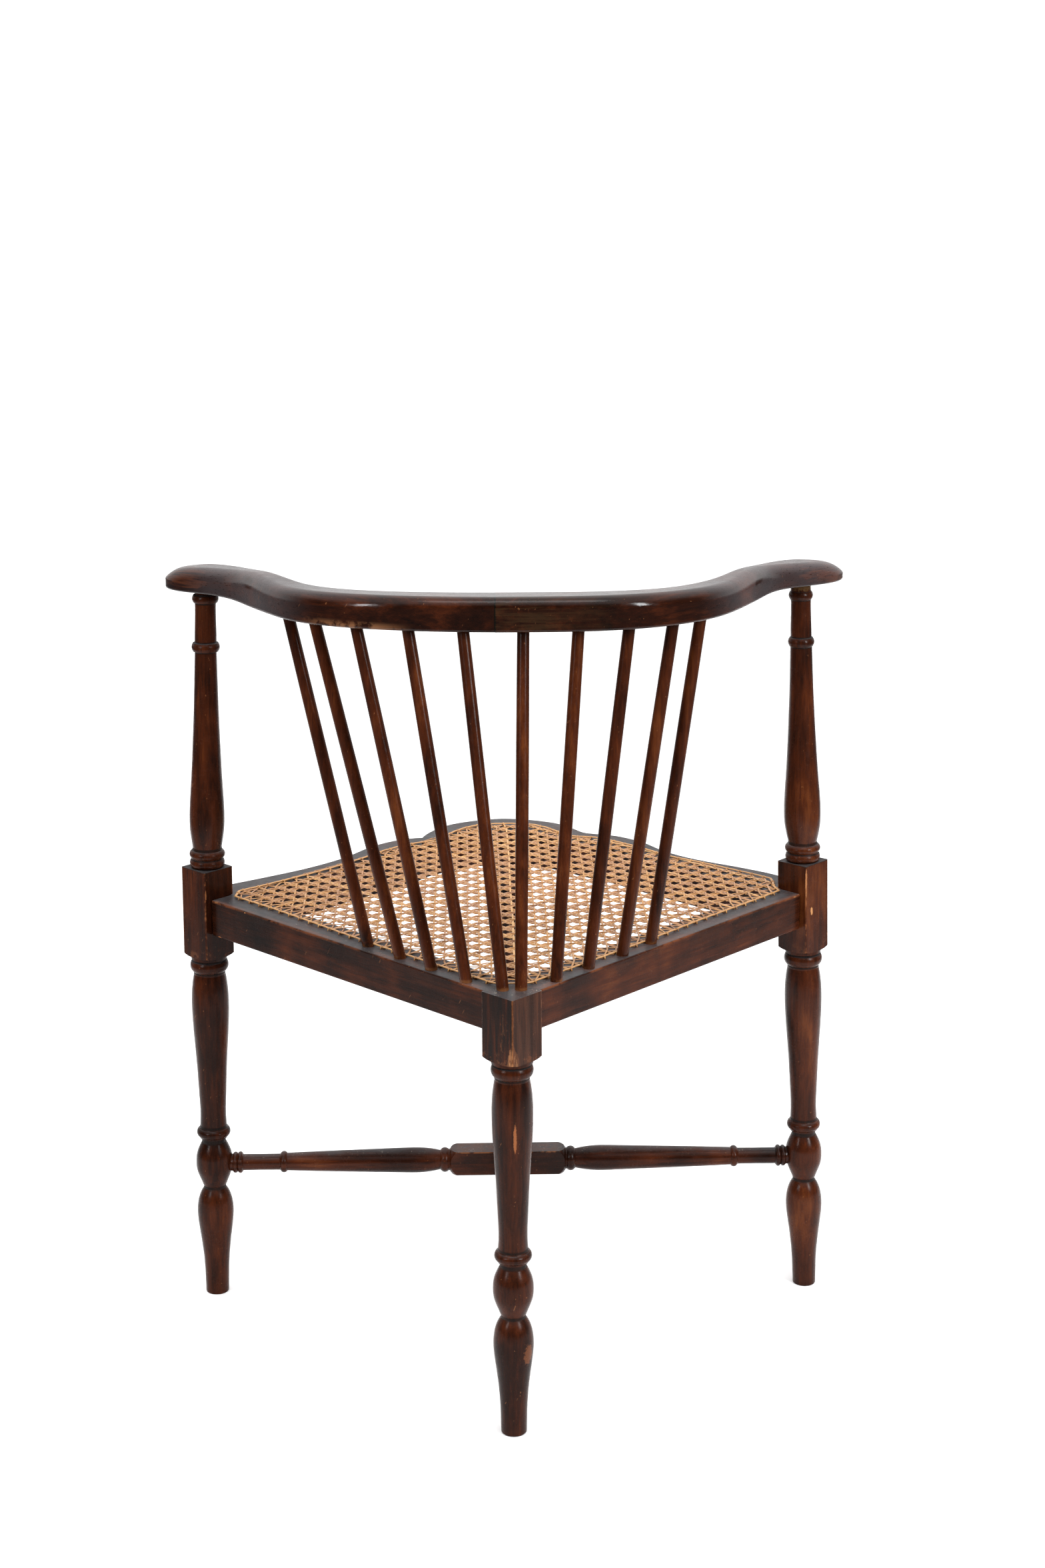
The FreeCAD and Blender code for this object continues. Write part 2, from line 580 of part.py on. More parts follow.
# round the front, from the left post to the right one
cane_front = [
    (281.0, 0.0), (280.4, -5.0), (263.0, -18.0), (245.6, -32.5), (227.0, -48.2), (208.3, -64.6), (190.0, -82.0),
    (172.3, -100.5), (153.0, -123.0), (134.2, -147.0), (118.0, -162.5), (101.8, -174.6), (88.0, -181.0),
    (76.5, -188.0), (66.0, -205.0), (56.5, -221.0), (44.0, -236.0), (29.7, -246.6), (12.0, -251.4), (-4.5, -252.2),
    (-21.0, -250.8), (-36.1, -246.4), (-50.0, -234.4), (-62.4, -217.6), (-70.0, -205.0), (-77.5, -198.0),
    (-90.0, -195.0), (-102.7, -192.0), (-123.0, -177.0), (-142.3, -158.5), (-164.7, -134.0), (-183.4, -113.0),
    (-212.0, -91.0), (-239.3, -67.2), (-262.0, -47.6), (-282.0, -28.0), (-283.2, -14.0), (-282.0, 0.0)]
cane_outline = ([(9.0, 297.5)] + cane_back_left + cane_front +
                [(-x, y) for x, y in reversed(cane_back_right)] + [(-9.0, 297.5)])
cane = prism(cane_outline, seat_z, seat_z + cane_t)


def inset(pts, d):
    out = []
    n = len(pts)
    area = sum(pts[i][0] * pts[(i + 1) % n][1] - pts[(i + 1) % n][0] * pts[i][1] for i in range(n))
    sg = 1.0 if area > 0 else -1.0
    for i in range(n):
        p0, p1, p2 = V(*pts[i - 1], 0), V(*pts[i], 0), V(*pts[(i + 1) % n], 0)
        a = (p1 - p0).normalize()
        b = (p2 - p1).normalize()
        na = V(-a.y, a.x, 0) * sg
        nb = V(-b.y, b.x, 0) * sg
        m = (na + nb)
        m = m.normalize()
        q = p1 + m * (d / max(0.35, m.dot(na)))
        out.append((q.x, q.y))
    return out


binding = prism(cane_outline, seat_z + cane_t, seat_z + cane_t + binding_t).cut(
    prism(inset(cane_outline, binding_w), seat_z + cane_t - 1, seat_z + cane_t + binding_t + 1))

for sp in spindles:
    cane = cane.cut(sp)
    binding = binding.cut(sp)
cane = one(cane.cut(left_post).cut(right_post))
binding = one(binding.cut(left_post).cut(right_post))

# ---------------------------------------------------------------- write every piece

os.makedirs("parts", exist_ok=True)
pieces = {
    "back_leg": back_leg,
    "front_leg": front_leg,
    "left_post": left_post,
    "right_post": right_post,
    "back_left_rail": back_left,
    "back_right_rail": back_right,
    "front_left_rail": front_left,
    "front_right_rail": front_right,
    "cross_stretcher": cross,
    "fore_aft_stretcher": fore,
    "left_arm": left_arm,
    "right_arm": right_arm,
    "arm_joint_dowels": dowel_pair,
    "cane_seat": cane,
    "cane_binding": binding,
}
for i, sp in enumerate(spindles):
    pieces["spindle_%d" % (i + 1)] = sp
for name, shape in pieces.items():
    done = save(name, shape)
    bb = done.BoundBox
    print("%-20s solids %d valid %s vol %.0f  x %.1f..%.1f y %.1f..%.1f z %.1f..%.1f" % (
        name, len(done.Solids), done.isValid(), done.Volume, bb.XMin, bb.XMax, bb.YMin, bb.YMax, bb.ZMin, bb.ZMax))
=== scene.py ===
import bpy
import math
import random
from mathutils import Matrix, Vector


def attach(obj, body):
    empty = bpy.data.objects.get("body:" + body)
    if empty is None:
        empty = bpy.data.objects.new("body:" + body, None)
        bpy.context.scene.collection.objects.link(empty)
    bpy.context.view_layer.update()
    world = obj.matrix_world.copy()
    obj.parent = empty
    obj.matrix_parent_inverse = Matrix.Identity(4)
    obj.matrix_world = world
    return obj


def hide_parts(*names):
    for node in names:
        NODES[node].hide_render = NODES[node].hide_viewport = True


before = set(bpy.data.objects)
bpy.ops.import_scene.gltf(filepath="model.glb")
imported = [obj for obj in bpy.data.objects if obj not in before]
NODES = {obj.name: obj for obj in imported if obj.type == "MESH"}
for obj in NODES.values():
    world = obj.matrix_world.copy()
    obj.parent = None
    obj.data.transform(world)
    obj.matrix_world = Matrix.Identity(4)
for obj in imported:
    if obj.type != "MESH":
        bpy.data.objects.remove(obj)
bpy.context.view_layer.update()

random.seed(11)
SHIFT = -0.0294            # the line of the two side posts, in the frame's Y
SEAT = 0.443               # top of the seat rails
R2 = math.sqrt(0.5)
sc = bpy.context.scene
sc.view_settings.view_transform = "Standard"
sc.view_settings.look = "None"

# ------------------------------------------------------------------ camera

yaw, pitch, roll = 0.0218246, 0.1992207, -0.004361
fwd = Vector((-math.sin(yaw) * math.cos(pitch), -math.cos(yaw) * math.cos(pitch), -math.sin(pitch)))
right = fwd.cross(Vector((0, 0, 1))).normalized()
up = right.cross(fwd).normalized()
r2 = right * math.cos(roll) + up * math.sin(roll)
u2 = up * math.cos(roll) - right * math.sin(roll)
cam_data = bpy.data.cameras.new("camera")
cam_data.sensor_width = 36.0
cam_data.lens = 3831.8 * 36.0 / 2352.0
cam_data.shift_y = -0.1
cam_data.clip_end = 60.0
cam = bpy.data.objects.new("camera", cam_data)
sc.collection.objects.link(cam)
m = Matrix((r2, u2, -fwd)).transposed().to_4x4()
m.translation = Vector((0.0376, 2.5574 + SHIFT, 1.2398))
cam.matrix_world = m
sc.camera = cam

# ------------------------------------------------------------------ node helpers


class Sock:
    """A value in a node tree, with arithmetic that adds Math nodes."""

    def __init__(self, tree, sock):
        self.t, self.s = tree, sock

    def _op(self, op, *others, clamp=False):
        n = self.t.nodes.new("ShaderNodeMath")
        n.operation = op
        n.use_clamp = clamp
        self.t.links.new(self.s, n.inputs[0])
        for i, o in enumerate(others):
            if isinstance(o, Sock):
                self.t.links.new(o.s, n.inputs[i + 1])
            else:
                n.inputs[i + 1].default_value = o
        return Sock(self.t, n.outputs[0])

    def __add__(self, o): return self._op("ADD", o)
    def __sub__(self, o): return self._op("SUBTRACT", o)
    def __mul__(self, o): return self._op("MULTIPLY", o)
    def __truediv__(self, o): return self._op("DIVIDE", o)
    def neg(self): return self._op("MULTIPLY", -1.0)
    def inv(self): return (self * -1.0) + 1.0
    def abs(self): return self._op("ABSOLUTE")
    def pow(self, e): return self._op("POWER", e)
    def max(self, o): return self._op("MAXIMUM", o)
    def min(self, o): return self._op("MINIMUM", o)
    def clamp(self): return self._op("ADD", 0.0, clamp=True)

    def step(self, lo, hi):
        """0 below lo, 1 above hi, smooth between (lo may be above hi)."""
        n = self.t.nodes.new("ShaderNodeMapRange")
        n.interpolation_type = "SMOOTHSTEP"
        self.t.links.new(self.s, n.inputs[0])
        if lo < hi:
            n.inputs[1].default_value, n.inputs[2].default_value = lo, hi
            n.inputs[3].default_value, n.inputs[4].default_value = 0.0, 1.0
        else:
            n.inputs[1].default_value, n.inputs[2].default_value = hi, lo
            n.inputs[3].default_value, n.inputs[4].default_value = 1.0, 0.0
        return Sock(self.t, n.outputs[0])

    def remap(self, a, b, c, d):
        n = self.t.nodes.new("ShaderNodeMapRange")
        self.t.links.new(self.s, n.inputs[0])
        for i, v in enumerate((a, b, c, d)):
            n.inputs[i + 1].default_value = v
        return Sock(self.t, n.outputs[0])


class Mat:
    def __init__(self, name):
        self.m = bpy.data.materials.new(name)
        self.m.use_nodes = True
        self.t = self.m.node_tree
        self.t.nodes.clear()
        self.out = self.t.nodes.new("ShaderNodeOutputMaterial")
        self.bsdf = self.t.nodes.new("ShaderNodeBsdfPrincipled")
        self.t.links.new(self.bsdf.outputs[0], self.out.inputs[0])
        tc = self.t.nodes.new("ShaderNodeTexCoord")
        self.pos = tc.outputs["Object"]
        sep = self.t.nodes.new("ShaderNodeSeparateXYZ")
        self.t.links.new(self.pos, sep.inputs[0])
        self.x, self.y, self.z = (Sock(self.t, o) for o in sep.outputs)
        g = self.t.nodes.new("ShaderNodeNewGeometry")
        sn = self.t.nodes.new("ShaderNodeSeparateXYZ")
        self.t.links.new(g.outputs["Normal"], sn.inputs[0])
        self.nx, self.ny, self.nz = (Sock(self.t, o) for o in sn.outputs)

    def mapped(self, rot=(0, 0, 0), scale=(1, 1, 1), loc=(0, 0, 0)):
        a = self.t.nodes.new("ShaderNodeMapping")
        a.inputs["Rotation"].default_value = rot
        a.inputs["Location"].default_value = loc
        self.t.links.new(self.pos, a.inputs[0])
        b = self.t.nodes.new("ShaderNodeMapping")
        b.inputs["Scale"].default_value = scale
        self.t.links.new(a.outputs[0], b.inputs[0])
        return b.outputs[0]

    def noise(self, vec, scale, detail=3.0, rough=0.55, dist=0.0):
        n = self.t.nodes.new("ShaderNodeTexNoise")
        n.inputs["Scale"].default_value = scale
        n.inputs["Detail"].default_value = detail
        n.inputs["Roughness"].default_value = rough
        n.inputs["Distortion"].default_value = dist
        self.t.links.new(vec, n.inputs["Vector"])
        return Sock(self.t, n.outputs[0])

    def ramp(self, fac, stops):
        n = self.t.nodes.new("ShaderNodeValToRGB")
        self.t.links.new(fac.s, n.inputs[0])
        el = n.color_ramp.elements
        while len(el) < len(stops):
            el.new(0.5)
        for e, (p, c) in zip(el, stops):
            e.position = p
            e.color = (*c, 1.0)
        return n.outputs[0]

    def mix(self, fac, a, b, blend="MIX"):
        n = self.t.nodes.new("ShaderNodeMix")
        n.data_type = "RGBA"
        n.blend_type = blend
        if isinstance(fac, Sock):
            self.t.links.new(fac.s, n.inputs[0])
        else:
            n.inputs[0].default_value = fac
        for sock, v in ((n.inputs[6], a), (n.inputs[7], b)):
            if isinstance(v, tuple):
                sock.default_value = (*v, 1.0)
            else:
                self.t.links.new(v, sock)
        return n.outputs[2]

    def bump(self, height, strength, distance, normal=None):
        n = self.t.nodes.new("ShaderNodeBump")
        n.inputs["Strength"].default_value = strength
        n.inputs["Distance"].default_value = distance
        self.t.links.new(height.s, n.inputs["Height"])
        if normal:
            self.t.links.new(normal, n.inputs["Normal"])
        return n.outputs[0]

    def set(self, **kw):
        for k, v in kw.items():
            self.bsdf.inputs[k.replace("_", " ")].default_value = v


def grain_rot(axis):
    """Euler angles that bring a grain direction to Z."""
    q = Vector(axis).rotation_difference(Vector((0, 0, 1)))
    return tuple(q.to_euler("XYZ"))


DARK = (0.0054, 0.0021, 0.0014)
MID = (0.0175, 0.0046, 0.0021)
RED = (0.056, 0.0125, 0.0040)
GLOW = (0.125, 0.033, 0.0085)
TAN = (0.40, 0.145, 0.048)
# grey of dust mixed with a painted sheen of reflected light, for upward faces
DUST_AND_SHEEN = (0.070, 0.071, 0.075)
# painted shade for the grooves and under the arm rail, with grime in the grooves
SHADE_AND_GRIME = (0.0060, 0.0042, 0.0034)


def blob(w, c, r, amount=1.0, ragged=0.5, scale=420.0):
    """A ragged spot of half sizes r (metres) round the point c; c is given from the line of the side posts."""
    dx = (w.x - c[0]) * (1.0 / r[0])
    dy = (w.y - (c[1] + SHIFT)) * (1.0 / r[1])
    dz = (w.z - c[2]) * (1.0 / r[2])
    d = (dx * dx + dy * dy + dz * dz).pow(0.5) + (w.noise(w.pos, scale, 3.0, 0.6) - 0.5) * (ragged * 2.0)
    return d.step(1.05, 0.80) * amount


def wood(name, axis=(0, 0, 1), loc=(0, 0, 0), red=0.5, dust_and_sheen=0.7, extra=None, rough=(0.17, 0.33), grooves=(), spots=(), spec=0.115, crumbs=0.0):
    """Dark stained, worn satin wood with its grain along axis."""
    w = Mat(name)
    rot = grain_rot(axis)
    fibre = w.noise(w.mapped(rot, (1, 1, 0.035), loc), 1500.0, 3.0, 0.6)
    streak = w.noise(w.mapped(rot, (1, 1, 0.055), loc), 260.0, 4.0, 0.6, 0.4)
    figure = w.noise(w.mapped(rot, (1, 1, 0.12), loc), 42.0, 3.0, 0.55, 0.8)
    blotch = w.noise(w.mapped((0, 0, 0), (1, 1, 0.6), loc), 15.0, 3.0, 0.6)
    worn = w.noise(w.pos, 95.0, 4.0, 0.65)
    smear = w.noise(w.mapped(rot, (1, 1, 0.3), loc), 130.0, 4.0, 0.62)
    tone = streak * 0.36 + figure * 0.46 + blotch * 0.62 + fibre * 0.18 + smear * 0.22 + (red - 0.5) * 0.34 - 0.42
    col = w.ramp(tone, [(0.30, DARK), (0.47, MID), (0.66, RED), (0.86, GLOW)])
    # open pores and fine dark lines
    pores = fibre.step(0.40, 0.27)
    col = w.mix(pores * 0.6, col, (0.005, 0.003, 0.002))
    # fine pale scratches and nicks in the polish
    nick = w.noise(w.mapped((0.5, 0.3, 0.9), (1, 1, 0.05), loc), 520.0, 1.0, 0.4).step(0.735, 0.775) * worn.step(0.46, 0.58)
    col = w.mix((nick * 0.55).clamp(), col, (0.22, 0.085, 0.033))
    roughness = worn.remap(0.3, 0.7, rough[0], rough[1]) + pores * 0.12
    height = fibre * 0.5 + streak * 0.5
    if extra:
        col, roughness, height = extra(w, col, roughness, height, worn, streak)
    # painted shade with grime: dark rings in the turned grooves
    for z, h in grooves:
        g = (w.z - z).abs().step(h, h * 0.25) * smear.remap(0.3, 0.7, 0.55, 1.0)
        col = w.mix(g.clamp(), col, SHADE_AND_GRIME)
        roughness = roughness + g * 0.3
    for c, r, amount, colour, ragged in spots:
        col = w.mix(blob(w, c, r, amount, ragged).clamp(), col, colour)
    # dust that lies on what faces up, with a painted grey sheen of reflected light on the upward faces
    flat = w.nz.step(0.72, 0.97)
    specks = w.noise(w.pos, 1900.0, 2.0, 0.7)
    film = w.noise(w.pos, 60.0, 4.0, 0.6)
    d = flat * (film.remap(0.3, 0.72, 0.45, 1.0)) * dust_and_sheen * specks.remap(0.2, 0.8, 0.72, 1.1)
    col = w.mix(d.clamp(), col, DUST_AND_SHEEN)
    roughness = (roughness + d * 0.3).clamp()
    if crumbs:
        bits = w.noise(w.pos, 640.0, 2.0, 0.55).step(0.655, 0.70) * flat * w.noise(w.pos, 85.0, 2.0, 0.5).step(0.42, 0.60)
        col = w.mix((bits * crumbs).clamp(), col, w.mix(specks.step(0.4, 0.6), (0.30, 0.21, 0.135), (0.62, 0.54, 0.45)))
        height = height + bits * 1.5
    w.t.links.new(col, w.bsdf.inputs["Base Color"])
    w.t.links.new(roughness.s, w.bsdf.inputs["Roughness"])
    w.t.links.new(w.bump(height, 0.22, 0.0004), w.bsdf.inputs["Normal"])
    w.set(Specular_IOR_Level=spec, Coat_Weight=0.0)
    return w.m


def put(node, mat):
    ob = NODES[node]
    if not ob.material_slots:
        ob.data.materials.append(mat)
    for s in ob.material_slots:
        s.material = mat


def head_wear_and_shade(cx, cy, half, z0, z1, amount=1.0, chip_and_shade=0.0):
    """Rubbed upright edges of a square head whose corners point along X and Y, worn through towards its foot; with
    chip_and_shade, also painted shade on the face towards +X and painted light on the face towards -X.
    """
    def f(w, col, rough, height, worn, streak):
        dx, dy = (w.x - cx), (w.y - cy)
        a = ((dx + dy) * R2).abs()
        b = ((dx - dy) * R2).abs()
        inside = w.z.step(z0 - 0.0035, z0 - 0.001) * w.z.step(z1 + 0.003, z1 + 0.001)
        fine = w.noise(w.mapped((0, 0, 0), (1, 1, 0.35), (cx, cy, 0.3)), 330.0, 4.0, 0.7)
        corner = a.min(b).step(half - 0.0022, half - 0.0004)
        mask = (corner * inside * (fine * 0.6 + worn * 0.5).step(0.50, 0.66) * amount).clamp()
        col = w.mix(mask, col, (0.26, 0.088, 0.030))
        if chip_and_shade:
            # bare wood that widens towards the lower end of the near edge
            reach = w.z.step(z0 + 0.024, z0 - 0.001) * (0.0070 * chip_and_shade) + 0.0006
            away = (a.min(b) * -1.0 + half) * 1.0
            ragged = (fine - 0.5) * 0.009 + (worn - 0.5) * 0.006
            near = dy.step(half * 0.75, half * 1.05)
            bare = (away + ragged - reach).step(0.0007, -0.0007) * near * inside
            low = w.z.step(z0 + 0.022, z0 + 0.006)
            pale = (low * fine.step(0.40, 0.56)).clamp()
            col = w.mix((bare * 0.85).clamp(), col, w.mix(pale, (0.155, 0.050, 0.017), (0.45, 0.19, 0.075)))
            scuff = blob(w, (cx + 0.0075, cy - SHIFT + 0.0205, z0 + 0.028), (0.006, 0.008, 0.020), 1.0, 0.6, 90.0)
            col = w.mix((scuff * fine.step(0.55, 0.64) * 0.55).clamp(), col, (0.20, 0.065, 0.022))
            # painted shade darkens the face towards +X, and painted light makes the face towards -X browner and paler
            painted_shade = dx.step(-0.0005, 0.0015) * inside * streak.step(0.70, 0.40)
            col = w.mix((painted_shade * 0.80).clamp(), col, (0.0060, 0.0036, 0.0028))
            painted_light_face = dx.step(0.0005, -0.0015) * inside
            col = w.mix((painted_light_face * 0.5).clamp(), col, w.mix(streak.step(0.35, 0.65), (0.030, 0.0125, 0.0075), (0.085, 0.034, 0.019)))
        ends = (w.z.step(z0 + 0.010, z0 + 0.001) * inside * a.max(b).step(half - 0.003, half) * worn.step(0.5, 0.6) * 0.6)
        col = w.mix(ends.clamp(), col, (0.12, 0.040, 0.016))
        return col, rough, height
    return f


LOW_GROOVES = [(0.3727, 0.0016), (0.3596, 0.0016), (0.1882, 0.0020), (0.1722, 0.0030), (0.1202, 0.0026)]
TOP_GROOVES = [(0.4736, 0.0016), (0.4824, 0.0014), (0.4930, 0.0024), (0.7010, 0.0012), (0.7112, 0.0013)]
py = SHIFT
put("left_post", wood("wood_left_post", loc=(0.3, 0.1, 0.0), red=0.66, spec=0.085,
                      extra=head_wear_and_shade(0.3108, py, 0.0187, 0.380, 0.473, 0.8),
                      grooves=LOW_GROOVES + TOP_GROOVES + [(0.7516, 0.0014), (0.7606, 0.0016)],
                      spots=[((0.3010, 0.0180, 0.392), (0.0012, 0.0014, 0.0042), 0.9, (0.004, 0.003, 0.002), 0.2),
                             ((0.3035, 0.0205, 0.385), (0.0012, 0.0014, 0.0036), 0.9, (0.004, 0.003, 0.002), 0.2),
                             ((0.3100, 0.0262, 0.449), (0.0010, 0.0016, 0.0055), 0.75, (0.30, 0.11, 0.04), 0.4)]))
put("right_post", wood("wood_right_post", loc=(0.9, 0.4, 0.2), red=0.92,
                       extra=head_wear_and_shade(-0.3103, py, 0.0187, 0.380, 0.473, 0.9),
                       grooves=LOW_GROOVES + TOP_GROOVES + [(0.7500, 0.0012)],
                       spots=[((-0.3172, 0.0196, 0.4235), (0.0018, 0.0022, 0.0046), 1.0, (0.50, 0.23, 0.090), 0.55),
                              ((-0.3103, 0.0262, 0.4585), (0.0012, 0.0020, 0.0120), 0.9, (0.38, 0.155, 0.060), 0.6),
                              ((-0.3105, 0.0260, 0.4440), (0.0010, 0.0016, 0.0040), 0.8, (0.30, 0.12, 0.045), 0.5),
                              ((-0.3030, 0.0, 0.7640), (0.0140, 0.0150, 0.0052), 0.9, (0.10, 0.050, 0.018), 0.9)]))
put("back_leg", wood("wood_back_leg", loc=(0.6, 0.8, 0.5), red=0.58, spec=0.095,
                     extra=head_wear_and_shade(0.0, 0.3098 + py, 0.020, 0.380, 0.443, 1.0, 1.0), grooves=LOW_GROOVES,
                     crumbs=1.0,
                     spots=[((0.0168, 0.3040, 0.4430), (0.0030, 0.0016, 0.0012), 1.0, (0.0015, 0.0012, 0.001), 0.25),
                            ((-0.0168, 0.3040, 0.4430), (0.0030, 0.0016, 0.0012), 1.0, (0.0015, 0.0012, 0.001), 0.25),
                            ((-0.0020, 0.3282, 0.305), (0.0016, 0.003, 0.0160), 0.85, (0.30, 0.10, 0.035), 0.45),
                            ((-0.0125, 0.3215, 0.215), (0.0016, 0.003, 0.0300), 0.85, (0.30, 0.10, 0.035), 0.75),
                            ((0.0120, 0.3225, 0.208), (0.0014, 0.003, 0.0120), 0.7, (0.24, 0.08, 0.028), 0.5),
                            ((-0.0140, 0.3225, 0.085), (0.0060, 0.006, 0.0110), 0.6, (0.17, 0.055, 0.020), 0.7)]))
put("front_leg", wood("wood_front_leg", loc=(0.1, 0.5, 0.9), red=0.5, grooves=LOW_GROOVES))


def rail_wear(sign, side, arris=0.85):
    """Rubbed upper arris on the outer face of a rail. sign: which way the face looks along X; side: 1 back, -1 front."""
    def f(w, col, rough, height, worn, streak):
        n = (w.x * sign + (w.y - py) * side) * R2 - 0.2185
        run = (w.x * -sign + (w.y - py) * side) * R2 + 0.2185
        top = w.z.step(SEAT - 0.0030, SEAT - 0.0008)
        outer = n.step(0.0070, 0.0105)
        patchy = w.noise(w.mapped((0, 0, 0), (1, 1, 1), (0.37, 0.2, 0.1)), 22.0, 2.0, 0.5)
        near_post = run.step(0.30, 0.12)
        mask = (top * outer * (patchy + near_post * 0.22).step(0.44, 0.60) * worn.step(0.30, 0.5)).clamp()
        col = w.mix(mask * arris, col, (0.145, 0.044, 0.017))
        tiny = w.noise(w.pos, 210.0, 3.0, 0.6).step(0.64, 0.70)
        col = w.mix((top * outer * tiny * 0.8).clamp(), col, (0.30, 0.105, 0.036))
        low = w.z.step(SEAT - 0.0365, SEAT - 0.0378) * outer * patchy.step(0.5, 0.62) * worn.step(0.4, 0.6)
        col = w.mix(low.clamp() * 0.7, col, (0.17, 0.060, 0.023))
        # dark, greasy stain along the middle of the face
        grease = w.z.step(SEAT - 0.020, SEAT - 0.006) * outer * patchy.step(0.56, 0.40) * 0.55
        col = w.mix(grease.clamp(), col, (0.012, 0.0062, 0.0048))
        # old glue in the open joint at the side post
        glue = run.step(0.0192, 0.0184) * worn.step(0.40, 0.60)
        col = w.mix(glue.clamp(), col, (0.20, 0.095, 0.030))
        return col, rough, height
    return f


put("back_left_rail", wood("wood_back_left_rail", axis=(-1, 1, 0), loc=(0.2, 0.7, 0.3), red=0.46, dust_and_sheen=0.8, crumbs=0.35, spec=0.10, extra=rail_wear(1, 1),
                           spots=[((0.2666, 0.0594, 0.4415), (0.0016, 0.002, 0.0010), 0.9, (0.36, 0.15, 0.06), 0.4),
                                  ((0.2990, 0.0270, 0.4425), (0.0030, 0.003, 0.0012), 0.6, (0.26, 0.115, 0.05), 0.5),
                                  ((0.2960, 0.0300, 0.4050), (0.0035, 0.0035, 0.0020), 0.8, (0.25, 0.085, 0.030), 0.5)]))
put("back_right_rail", wood("wood_back_right_rail", axis=(1, 1, 0), loc=(0.7, 0.1, 0.8), red=0.66, dust_and_sheen=0.9, crumbs=0.35, extra=rail_wear(-1, 1, 0.95),
                            spots=[((-0.2985, 0.0285, 0.4420), (0.0022, 0.002, 0.0010), 0.6, (0.28, 0.12, 0.05), 0.5)]))
put("front_left_rail", wood("wood_front_left_rail", axis=(1, 1, 0), loc=(0.4, 0.4, 0.6), red=0.52, dust_and_sheen=0.9))
put("front_right_rail", wood("wood_front_right_rail", axis=(-1, 1, 0), loc=(0.8, 0.6, 0.1), red=0.52, dust_and_sheen=0.9))


def stretcher_wear(w, col, rough, height, worn, streak):
    edge = (w.z - 0.1585).abs().step(0.0018, 0.0003) * w.x.abs().step(0.058, 0.050) * w.ny.step(-0.2, 0.3)
    col = w.mix((edge * worn.step(0.36, 0.52) * 0.85).clamp(), col, (0.20, 0.070, 0.026))
    return col, rough, height


put("cross_stretcher", wood("wood_cross_stretcher", axis=(1, 0, 0), loc=(0.5, 0.2, 0.4), red=0.54, dust_and_sheen=0.62, crumbs=0.55, extra=stretcher_wear))
put("fore_aft_stretcher", wood("wood_fore_aft_stretcher", axis=(0, 1, 0), loc=(0.1, 0.9, 0.7), red=0.50, dust_and_sheen=0.75))

SEAM = 0.0127
DROPS_L = ((0.2548, 0.1040, 0.7905), (0.0080, 0.0260, 0.0090), (0.2560, 0.1180, 0.7780), (0.0026, 0.0200, 0.0110))
DROPS_R = ((-0.2527, 0.1000, 0.7890), (0.0072, 0.0240, 0.0070), (-0.2470, 0.1080, 0.7860), (0.0028, 0.0150, 0.0060))


def arm_wear_and_sheen(sign, drop):
    """Seam at the crest, worn lower arris, drops of darker finish on the diagonal, a painted grey sheen of reflected
    light there, and a worn terminal.
    """
    def f(w, col, rough, height, worn, streak):
        seam = (w.x - SEAM).abs().step(0.00120, 0.00070)
        col = w.mix(seam, col, (0.004, 0.003, 0.002))
        if sign < 0:
            along = w.noise(w.mapped(grain_rot((1, 0.06, 0)), (1, 1, 0.035), (0.3, 0.3, 0.3)), 330.0, 4.0, 0.65)
            green = w.x.step(SEAM - 0.150, SEAM - 0.030) * w.x.step(SEAM + 0.002, SEAM) * along.step(0.40, 0.68)
            col = w.mix((green * 0.42).clamp(), col, (0.052, 0.0270, 0.0115))
        else:
            low = w.z.step(0.7795, 0.7735) * w.ny.step(0.1, 0.5) * w.x.step(0.205, 0.155) * w.x.step(0.085, 0.13)
            col = w.mix((low * worn.step(0.38, 0.54) * 0.90).clamp(), col, (0.20, 0.085, 0.038))
        tip = w.x.abs().step(0.322, 0.340) * w.z.step(0.7795, 0.7700) * worn.step(0.34, 0.54)
        col = w.mix((tip * (0.40 if sign < 0 else 0.0)).clamp(), col, (0.20, 0.070, 0.028))
        if sign > 0:
            col = w.mix(w.x.step(0.305, 0.325) * 0.5, col, (0.011, 0.0075, 0.0075))
        # worn, redder patch above the post
        glow = blob(w, (sign * 0.318, 0.0, 0.780), (0.030, 0.040, 0.012), 0.5, 0.6, 60.0)
        col = w.mix((glow * streak.step(0.4, 0.62)).clamp(), col, (0.105, 0.030, 0.012))
        # painted sheen: grey reflected light painted on the diagonal and on the upward faces, with the drop marks left
        # clear
        ends = (0.330, 0.295) if sign > 0 else (0.400, 0.380)
        painted_sheen = (w.x.abs().step(0.175, 0.235) * w.x.abs().step(ends[0], ends[1]) * 0.75
                + w.nz.step(0.45, 0.95) * w.x.abs().step(0.10, 0.20) * 0.45) \
            * w.noise(w.pos, 24.0, 3.0, 0.6).remap(0.3, 0.7, 0.75, 1.0)
        pits = w.noise(w.mapped(grain_rot((sign * 0.6, -0.8, 0)), (1, 1, 0.22), (0.2, 0.6, 0.1)), 900.0, 2.0, 0.6).step(0.62, 0.68)
        col = w.mix((painted_sheen * pits * 0.7).clamp(), col, (0.010, 0.006, 0.005))
        painted_sheen = painted_sheen * pits.inv()
        mark = blob(w, drop[0], drop[1], 1.0, 0.10).max(blob(w, drop[2], drop[3], 1.0, 0.10))
        painted_sheen = (painted_sheen * mark.inv()).clamp()
        col = w.mix((mark * 0.62).clamp(), col, (0.019, 0.0095, 0.0080))
        col = w.mix(painted_sheen * 0.50, col, (0.092, 0.074, 0.077))
        rough = rough + painted_sheen * 0.14
        return col, rough, height
    return f


